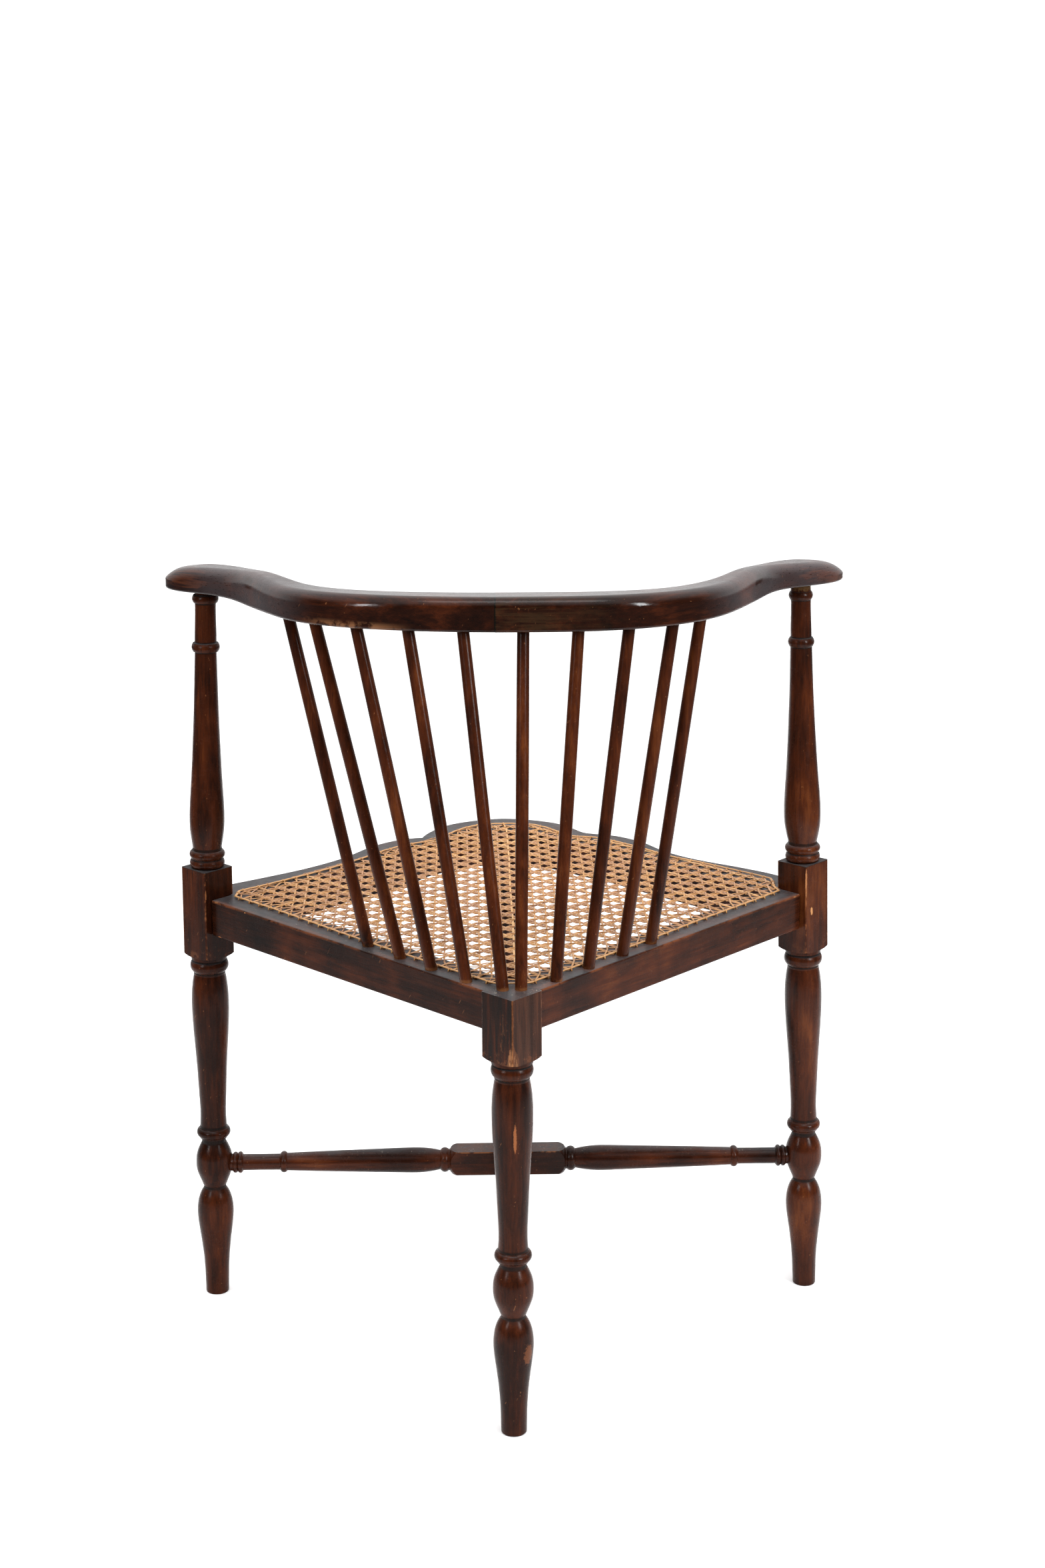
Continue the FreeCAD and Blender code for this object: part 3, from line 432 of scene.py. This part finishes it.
put("left_arm", wood("wood_left_arm", axis=(0.79, -0.61, 0), loc=(0.25, 0.35, 0.15), red=0.42, dust_and_sheen=0.10, rough=(0.09, 0.18), spec=0.17,
                     extra=arm_wear_and_sheen(1, DROPS_L)))
put("right_arm", wood("wood_right_arm", axis=(-0.79, -0.61, 0), loc=(0.65, 0.05, 0.55), red=0.46, dust_and_sheen=0.10, rough=(0.09, 0.18), spec=0.17,
                      extra=arm_wear_and_sheen(-1, DROPS_R)))
put("arm_joint_dowels", wood("wood_dowels", axis=(1, 0, 0), red=0.9, dust_and_sheen=0.0))


def spindle_glue_and_shade(black):
    """Old glue and grime where a spindle enters the rail, and painted shade under the arm rail."""
    def f(w, col, rough, height, worn, streak):
        low = w.z.step(SEAT + 0.0042, SEAT + 0.0012)
        col = w.mix((low * worn.step(0.36, 0.56) * 0.8).clamp(), col, (0.15, 0.056, 0.020))
        if black:
            stain = w.z.step(SEAT + 0.030, SEAT + 0.004) * w.noise(w.pos, 70.0, 3.0, 0.6).step(0.42, 0.56)
            col = w.mix((stain * 0.85).clamp(), col, (0.006, 0.0045, 0.004))
        # painted shade on the spindle tops under the arm rail
        painted_shade = w.z.step(0.760, 0.770)
        col = w.mix(painted_shade * 0.5, col, SHADE_AND_GRIME)
        return col, rough, height
    return f


for i in range(1, 11):
    put("spindle_%d" % i, wood("wood_spindle_%d" % i, loc=(0.13 * i, 0.29 * i, 0.41 * i), red=0.86, dust_and_sheen=0.0, rough=(0.17, 0.30),
                               extra=spindle_glue_and_shade(i == 1)))

# ------------------------------------------------------------------ cane: outline and holes

half_span = 0.309


def back_pt(s, n):
    return (half_span - s * R2 + n * R2, s * R2 + n * R2)


def front_pt(s, n):
    return (half_span - s * R2 + n * R2, -s * R2 - n * R2)


cane_back_left = [back_pt(s / 1000, n / 1000) for s, n in [
    (415.0, 3.0), (389.0, 3.0), (341.0, 2.6), (293.0, 2.0), (253.0, 1.4), (200.0, -0.8), (150.0, -3.6), (94.0, -6.0),
    (30.0, -6.4)]]
cane_back_right = [back_pt(s / 1000, n / 1000) for s, n in [
    (415.0, 3.6), (389.0, 3.6), (341.0, 3.4), (293.0, 3.0), (253.0, 2.2), (208.0, 0.6), (163.0, -1.6), (110.0, -2.4),
    (63.0, -3.0), (28.0, -4.4)]]
cane_front = [(x / 1000, y / 1000) for x, y in [
    (281.0, 0.0), (280.4, -5.0), (263.0, -18.0), (245.6, -32.5), (227.0, -48.2), (208.3, -64.6), (190.0, -82.0),
    (172.3, -100.5), (153.0, -123.0), (134.2, -147.0), (118.0, -162.5), (101.8, -174.6), (88.0, -181.0),
    (76.5, -188.0), (66.0, -205.0), (56.5, -221.0), (44.0, -236.0), (29.7, -246.6), (12.0, -251.4), (-4.5, -252.2),
    (-21.0, -250.8), (-36.1, -246.4), (-50.0, -234.4), (-62.4, -217.6), (-70.0, -205.0), (-77.5, -198.0),
    (-90.0, -195.0), (-102.7, -192.0), (-123.0, -177.0), (-142.3, -158.5), (-164.7, -134.0), (-183.4, -113.0),
    (-212.0, -91.0), (-239.3, -67.2), (-262.0, -47.6), (-282.0, -28.0), (-283.2, -14.0), (-282.0, 0.0)]]
outline = ([(0.009, 0.2975)] + cane_back_left + cane_front + [(-x, y) for x, y in reversed(cane_back_right)] +
           [(-0.009, 0.2975)])


def inset(pts, d):
    out = []
    n = len(pts)
    area = sum(pts[i][0] * pts[(i + 1) % n][1] - pts[(i + 1) % n][0] * pts[i][1] for i in range(n))
    sg = 1.0 if area > 0 else -1.0
    for i in range(n):
        p0, p1, p2 = Vector(pts[i - 1]), Vector(pts[i]), Vector(pts[(i + 1) % n])
        a, b = (p1 - p0).normalized(), (p2 - p1).normalized()
        na, nb = Vector((-a.y, a.x)) * sg, Vector((-b.y, b.x)) * sg
        mm = (na + nb).normalized()
        q = p1 + mm * (d / max(0.35, mm.dot(na)))
        out.append((q.x, q.y))
    return out


hole_line = [Vector(p) for p in inset(outline, 0.0025)]
NP = len(hole_line)
cum = [0.0]
for i in range(NP):
    cum.append(cum[-1] + (hole_line[(i + 1) % NP] - hole_line[i]).length)
TOTAL = cum[-1]


def on_line(t):
    t = t % TOTAL
    for i in range(NP):
        if cum[i] <= t <= cum[i + 1]:
            k = (t - cum[i]) / max(1e-9, cum[i + 1] - cum[i])
            return hole_line[i].lerp(hole_line[(i + 1) % NP], k)
    return hole_line[0]


def crossings(p, d):
    """Where the line p + a*d meets the hole line: sorted (a, t along the hole line)."""
    out = []
    for i in range(NP):
        a, b = hole_line[i], hole_line[(i + 1) % NP]
        e = b - a
        det = d.x * (-e.y) + e.x * d.y
        if abs(det) < 1e-12:
            continue
        r = a - p
        aa = (r.x * (-e.y) + e.x * r.y) / det
        k = (d.x * r.y - d.y * r.x) / det
        if -1e-9 <= k < 1 - 1e-9:
            out.append((aa, cum[i] + k * (cum[i + 1] - cum[i])))
    out.sort()
    return out


PITCH = 0.01585
E1, E2 = Vector((R2, R2)), Vector((-R2, R2))
U_LINES = [0.1895] + [0.1869 - PITCH * k for k in range(1, 26)]
V_LINES = [0.1880] + [0.1855 - PITCH * k for k in range(1, 26)]
X0 = 0.0010 + PITCH * R2 / 2
X_LINES = [X0 + PITCH * R2 * k for k in range(-27, 27)]
Y0 = ((0.1869 + 0.1855) - PITCH) * R2
Y_LINES = [Y0 - PITCH * R2 * (k + 0.5) for k in range(-12, 44)]

# holes: in line with the pairs on the straight rails, evenly spaced round the bow
hole_ts = []
for v in [0.1855 + PITCH] + V_LINES:
    for a, t in crossings(E2 * v, E1):
        if a > 0.12:
            hole_ts.append(t)
for u in [0.1869 + PITCH] + U_LINES:
    for a, t in crossings(E1 * u, E2):
        if a > 0.12:
            hole_ts.append(t)
for u in U_LINES:
    for a, t in crossings(E1 * u, E2):
        q = on_line(t)
        if a < -0.1 and q.x > 0.115:
            hole_ts.append(t)
for v in V_LINES:
    for a, t in crossings(E2 * v, E1):
        q = on_line(t)
        if a < -0.1 and q.x < -0.115:
            hole_ts.append(t)
hole_ts = sorted(set(round(t % TOTAL, 6) for t in hole_ts))
keep = []
for t in hole_ts:
    if not keep or t - keep[-1] > 0.009:
        keep.append(t)
filled = []
for i, t in enumerate(keep):
    nxt = keep[(i + 1) % len(keep)] + (TOTAL if i == len(keep) - 1 else 0.0)
    gap = nxt - t
    filled.append(t)
    extra_n = int(round(gap / 0.0152)) - 1
    for j in range(extra_n):
        filled.append((t + gap * (j + 1) / (extra_n + 1)) % TOTAL)
hole_ts = sorted(filled)
HOLES = [(t, on_line(t)) for t in hole_ts]


def snap(t):
    best = min(HOLES, key=lambda h: min(abs(h[0] - t), TOTAL - abs(h[0] - t)))
    gap = min(abs(best[0] - t), TOTAL - abs(best[0] - t))
    return best[1] if gap < 0.0098 else on_line(t)


# ------------------------------------------------------------------ cane: strands

STRAND_W, STRAND_T = 0.0021, 0.00075
DELTA = 0.00128
ZMID = SEAT + 0.0012
ZP = 0.00037
ZD = 0.00078


class Strands:
    def __init__(self, name):
        self.name, self.v, self.f, self.tone = name, [], [], []

    def add(self, path, w=STRAND_W, t=STRAND_T, tone=0.5, twist=None, close=True, shape=None):
        """A crowned ribbon along path [(x, y, z)...]: flat underneath, round on top."""
        n = len(path)
        base = len(self.v)
        sec = shape or [(-0.5, -0.42), (0.5, -0.42), (0.49, 0.05), (0.27, 0.46), (-0.27, 0.46), (-0.49, 0.05)]
        k = len(sec)
        for i, p in enumerate(path):
            a = path[max(0, i - 1)]
            b = path[min(n - 1, i + 1)]
            tx, ty, tz = b[0] - a[0], b[1] - a[1], b[2] - a[2]
            h = math.hypot(tx, ty)
            full = math.sqrt(h * h + tz * tz) or 1e-9
            if h < 1e-9:
                sx, sy = 1.0, 0.0
                ux, uy, uz = 0.0, 1.0, 0.0
            else:
                sx, sy = -ty / h, tx / h
                ux, uy, uz = -tx / h * tz / full, -ty / h * tz / full, h / full
            tw = twist[i] if twist else 0.0
            c, s = math.cos(tw), math.sin(tw)
            for (q, r) in sec:
                lw, lu = q * w, r * t
                aw, au = lw * c - lu * s, lw * s + lu * c
                self.v.append((p[0] + sx * aw + ux * au, p[1] + sy * aw + uy * au + SHIFT, p[2] + uz * au))
                self.tone.append(tone)
        for i in range(n - 1):
            for j in range(k):
                a0 = base + i * k + j
                a1 = base + i * k + (j + 1) % k
                self.f.append((a0, a1, a1 + k, a0 + k))
        if close:
            self.f.append(tuple(base + j for j in reversed(range(k))))
            self.f.append(tuple(base + (n - 1) * k + j for j in range(k)))

    def make(self, mat):
        me = bpy.data.meshes.new(self.name)
        me.from_pydata(self.v, [], self.f)
        at = me.attributes.new("tone", "FLOAT", "POINT")
        at.data.foreach_set("value", self.tone)
        for p in me.polygons:
            p.use_smooth = True
        me.update()
        ob = bpy.data.objects.new(self.name, me)
        sc.collection.objects.link(ob)
        me.materials.append(mat)
        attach(ob, "root")
        return ob


def smooth_path(line, events, end_a, end_b, off, wob, ends=True):
    """Turn (a, level) events along a line into a 3-D path that starts and ends in holes.
    line = (origin, direction, side direction); off = sideways offset in the pair."""
    o, d, s = line
    lo, hi = end_a[0], end_b[0]
    ev = [e for e in events if lo + 0.0062 < e[0] < hi - 0.0062]
    ha, hb = end_a[1], end_b[1]
    pts = []

    def at(a, z, side):
        w = 0.00030 * math.sin(a * wob[0] + wob[1]) + 0.00016 * math.sin(a * wob[2] + wob[3])
        q = o + d * a + s * (side + w)
        return (q.x, q.y, z)
    # ends: dip into the hole
    oa = ha + s * (off * 0.35)
    ob_ = hb + s * (off * 0.35)
    pts.append((oa.x - d.x * 0.0012, oa.y - d.y * 0.0012, SEAT - 0.0022))
    pts.append((oa.x + d.x * 0.0003, oa.y + d.y * 0.0003, SEAT + 0.0005))
    prev = None
    for a, z in ev:
        # bend smoothly from the straight line into the hole over the last 16 mm
        if prev is not None:
            mid = (prev[0] + a) / 2
            pts.append((mid, (prev[1] + z) / 2, "m"))
        pts.append((a, z, "e"))
        prev = (a, z)
    out = []
    for p in pts:
        if isinstance(p[2], str):
            a, z = p[0], p[1]
            q = at(a, ZMID + z, off)
            # pull towards the holes near each end
            ka = max(0.0, 1.0 - (a - lo) / 0.017)
            kb = max(0.0, 1.0 - (hi - a) / 0.017)
            ta = o + d * lo + s * off
            tb = o + d * hi + s * off
            q = (q[0] + (oa.x - ta.x) * ka + (ob_.x - tb.x) * kb,
                 q[1] + (oa.y - ta.y) * ka + (ob_.y - tb.y) * kb, q[2])
            out.append(q)
        else:
            out.append(p)
    out.append((ob_.x - d.x * 0.0003, ob_.y - d.y * 0.0003, SEAT + 0.0005))
    out.append((ob_.x + d.x * 0.0012, ob_.y + d.y * 0.0012, SEAT - 0.0022))
    return out


def rnd_wob():
    return (random.uniform(18, 40), random.uniform(0, 6.3), random.uniform(60, 110), random.uniform(0, 6.3))


def rnd_tone():
    r = random.random()
    if r < 0.10:
        return random.uniform(0.80, 1.0)
    if r < 0.26:
        return random.uniform(0.05, 0.22)
    return random.uniform(0.32, 0.68)


weave = Strands("cane_weave")


def span(o, d):
    c = crossings(o, d)
    if len(c) < 2:
        return None
    return c[0], c[-1]


def pair_events(lines, first_over, off_sign):
    """Levels of one strand of a pair along the other family's lines."""
    ev = []
    for c in sorted(lines):
        for k in (-1, 1):
            over = (k < 0) == first_over
            ev.append((c + k * DELTA, ZP if over else -ZP))
    ls = sorted(lines)
    for a, b in zip(ls, ls[1:]):
        mid = (a + b) / 2
        ev.append((mid - 0.0022, 0.0))
        ev.append((mid + 0.0022, 0.0))
    ev.sort()
    return ev


# pairs along E1 (constant v) and along E2 (constant u)
for lines, painted_light_face, d, s in ((V_LINES, U_LINES, E1, E2), (U_LINES, V_LINES, E2, E1)):
    for c in lines:
        for side in (-1, 1):
            jitter = random.uniform(-0.00022, 0.00022)
            off = side * DELTA + jitter
            o = s * c
            ends = span(o + s * off, d)
            if ends is None:
                continue
            (a0, t0), (a1, t1) = ends
            if a1 - a0 < 0.02:
                continue
            e1_family = d is E1
            first_over = (side < 0) if e1_family else (side > 0)
            ev = pair_events(painted_light_face, first_over, side)
            path = smooth_path((o, d, s), ev, (a0, snap(t0)), (a1, snap(t1)), off, rnd_wob())
            weave.add(path, STRAND_W * random.uniform(0.9, 1.06), STRAND_T, rnd_tone())

# single diagonals: fore-and-aft (under the E1 pairs, over the E2 pairs), and across (the other way)
DX, DY = Vector((1, 0)), Vector((0, 1))
for fam, lines in (("y", X_LINES), ("x", Y_LINES)):
    for c in lines:
        d, s = (DY, DX) if fam == "y" else (DX, DY)
        o = s * c
        ends = span(o, d)
        if ends is None:
            continue
        (a0, t0), (a1, t1) = ends
        if a1 - a0 < 0.016:
            continue
        ev = []
        for v in V_LINES:      # v = (-x + y) * R2
            a = v / R2 + c if fam == "y" else c - v / R2
            ev += [(a - 0.0033, -ZD), (a + 0.0033, -ZD)] if fam == "y" else [(a - 0.0033, ZD), (a + 0.0033, ZD)]
        for u in U_LINES:      # u = (x + y) * R2
            a = u / R2 - c
            ev += [(a - 0.0033, ZD), (a + 0.0033, ZD)] if fam == "y" else [(a - 0.0033, -ZD), (a + 0.0033, -ZD)]
        ev.sort()
        path = smooth_path((o, d, s), ev, (a0, snap(t0)), (a1, snap(t1)), 0.0, rnd_wob())
        weave.add(path, STRAND_W * random.uniform(0.80, 0.95), STRAND_T * 0.95, rnd_tone() * 0.9)


def cane_material(name, light=1.0):
    w = Mat(name)
    at = w.t.nodes.new("ShaderNodeAttribute")
    at.attribute_name = "tone"
    tone = Sock(w.t, at.outputs["Fac"])
    fine = w.noise(w.pos, 1400.0, 2.0, 0.6)
    mid = w.noise(w.pos, 120.0, 3.0, 0.6)
    wide = w.noise(w.pos, 9.0, 2.0, 0.5)
    t = tone * 0.62 + fine * 0.16 + mid * 0.26 + wide * 0.22 - 0.12
    col = w.ramp(t, [(0.12, (0.185, 0.078, 0.028)), (0.34, (0.330, 0.150, 0.052)), (0.58, (0.465, 0.232, 0.080)),
                     (0.85, (0.64, 0.38, 0.165))])
    # some strands have aged pinkish grey
    rosy = (tone * 7.31)._op("FRACT").step(0.52, 0.70) * light
    col = w.mix((rosy * 0.45).clamp(), col, (0.34, 0.170, 0.105))
    stain = w.noise(w.pos, 34.0, 4.0, 0.7).step(0.62, 0.74)
    col = w.mix(stain * 0.45, col, (0.17, 0.075, 0.035))
    w.t.links.new(col, w.bsdf.inputs["Base Color"])
    w.t.links.new(mid.remap(0.3, 0.7, 0.34, 0.5).s, w.bsdf.inputs["Roughness"])
    w.t.links.new(w.bump(fine, 0.25, 0.0002), w.bsdf.inputs["Normal"])
    w.set(Specular_IOR_Level=0.4, Subsurface_Weight=0.0)
    return w.m


CANE = cane_material("cane_strand")
cane_ob = weave.make(CANE)
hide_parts("cane_seat")

# ------------------------------------------------------------------ cane: binding strand and its loops

bind = Strands("cane_edge_strand")
path = []
N = 520
for i in range(N + 1):
    t = TOTAL * (i / N) * 0.9985 + 0.001
    q = on_line(t)
    # rises a little between the loops that hold it down
    near = min(min(abs(h[0] - t % TOTAL), TOTAL - abs(h[0] - t % TOTAL)) for h in HOLES)
    wave = 0.00028 * min(1.0, near / 0.006)
    path.append((q.x, q.y, SEAT + 0.00215 + wave))
bind.add(path, 0.0027, 0.0010, 0.62)
bind_ob = bind.make(CANE)
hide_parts("cane_binding")

loops = Strands("cane_couching_loops")
for t, p in HOLES:
    q0, q1 = on_line(t - 0.002), on_line(t + 0.002)
    tan = (q1 - q0).normalized()
    nor = Vector((-tan.y, tan.x))
    sk = random.uniform(-0.0009, 0.0009)
    pts = []
    for k in range(9):
        f = -1.0 + 2.0 * k / 8
        lift = math.sqrt(max(0.0, 1.0 - (abs(f) ** 2.6)))
        pts.append((p.x + nor.x * f * 0.0024 + tan.x * sk * f, p.y + nor.y * f * 0.0024 + tan.y * sk * f,
                    SEAT - 0.0003 + lift * 0.0033))
    loops.add(pts, 0.0017, 0.0006, random.choice([0.35, 0.5, 0.6, 0.75]))
loop_ob = loops.make(CANE)

# ------------------------------------------------------------------ floor, light, world

bpy.ops.mesh.primitive_plane_add(size=240.0, location=(0, 0, 0))
floor = bpy.context.object
floor.name = "floor"
fm = Mat("floor_pale")
# the floor colour darkens away from the chair: a painted falloff of the studio light
side_fade = (fm.x.abs() + fm.y * 0.25).step(0.95, 1.90)
fade = fm.y.step(0.85, 1.70).max(side_fade)
fm.t.links.new(fm.mix(fade.clamp(), (0.93, 0.93, 0.93), (0.12, 0.12, 0.125)), fm.bsdf.inputs["Base Color"])
fm.set(Roughness=0.75, Specular_IOR_Level=0.1)
floor.data.materials.append(fm.m)

world = bpy.data.worlds.new("studio")
sc.world = world
world.use_nodes = True
wt = world.node_tree
wt.nodes.clear()
wo = wt.nodes.new("ShaderNodeOutputWorld")
bg = wt.nodes.new("ShaderNodeBackground")
wt.links.new(bg.outputs[0], wo.inputs[0])
tc = wt.nodes.new("ShaderNodeTexCoord")
sp = wt.nodes.new("ShaderNodeSeparateXYZ")
wt.links.new(tc.outputs["Generated"], sp.inputs[0])
mr = wt.nodes.new("ShaderNodeMapRange")
mr.interpolation_type = "SMOOTHSTEP"
for i, v in enumerate((-0.50, 0.12, 1.14, 0.07)):
    mr.inputs[i + 1].default_value = v
wt.links.new(sp.outputs[1], mr.inputs[0])
hi = wt.nodes.new("ShaderNodeMapRange")
hi.interpolation_type = "SMOOTHSTEP"
for i, v in enumerate((0.36, 0.80, 0.0, 1.0)):
    hi.inputs[i + 1].default_value = v
wt.links.new(sp.outputs[2], hi.inputs[0])
mx = wt.nodes.new("ShaderNodeMix")
mx.data_type = "FLOAT"
wt.links.new(hi.outputs[0], mx.inputs[0])
wt.links.new(mr.outputs[0], mx.inputs[2])
mx.inputs[3].default_value = 1.9
wt.links.new(mx.outputs[0], bg.inputs["Strength"])
bg.inputs["Color"].default_value = (1.0, 1.0, 1.0, 1.0)


def area(name, loc, target, sx, sy, energy, color=(1, 1, 1)):
    ld = bpy.data.lights.new(name, "AREA")
    ld.shape = "RECTANGLE"
    ld.size, ld.size_y = sx, sy
    ld.energy = energy
    ld.color = color
    ob = bpy.data.objects.new(name, ld)
    ob.location = loc
    ob.rotation_euler = (Vector(target) - Vector(loc)).to_track_quat("-Z", "Y").to_euler()
    sc.collection.objects.link(ob)
    return ob


area("box_left", (2.0, 1.9, 1.55), (0, 0, 0.45), 0.22, 0.85, 23.0, (0.93, 0.97, 1.0))
area("box_right", (-2.0, 2.0, 1.65), (0, 0, 0.45), 0.28, 1.05, 54.0, (0.95, 0.98, 1.0))
area("box_top", (0, 0.9, 3.0), (0, 0, 0.4), 1.6, 0.9, 22.0)
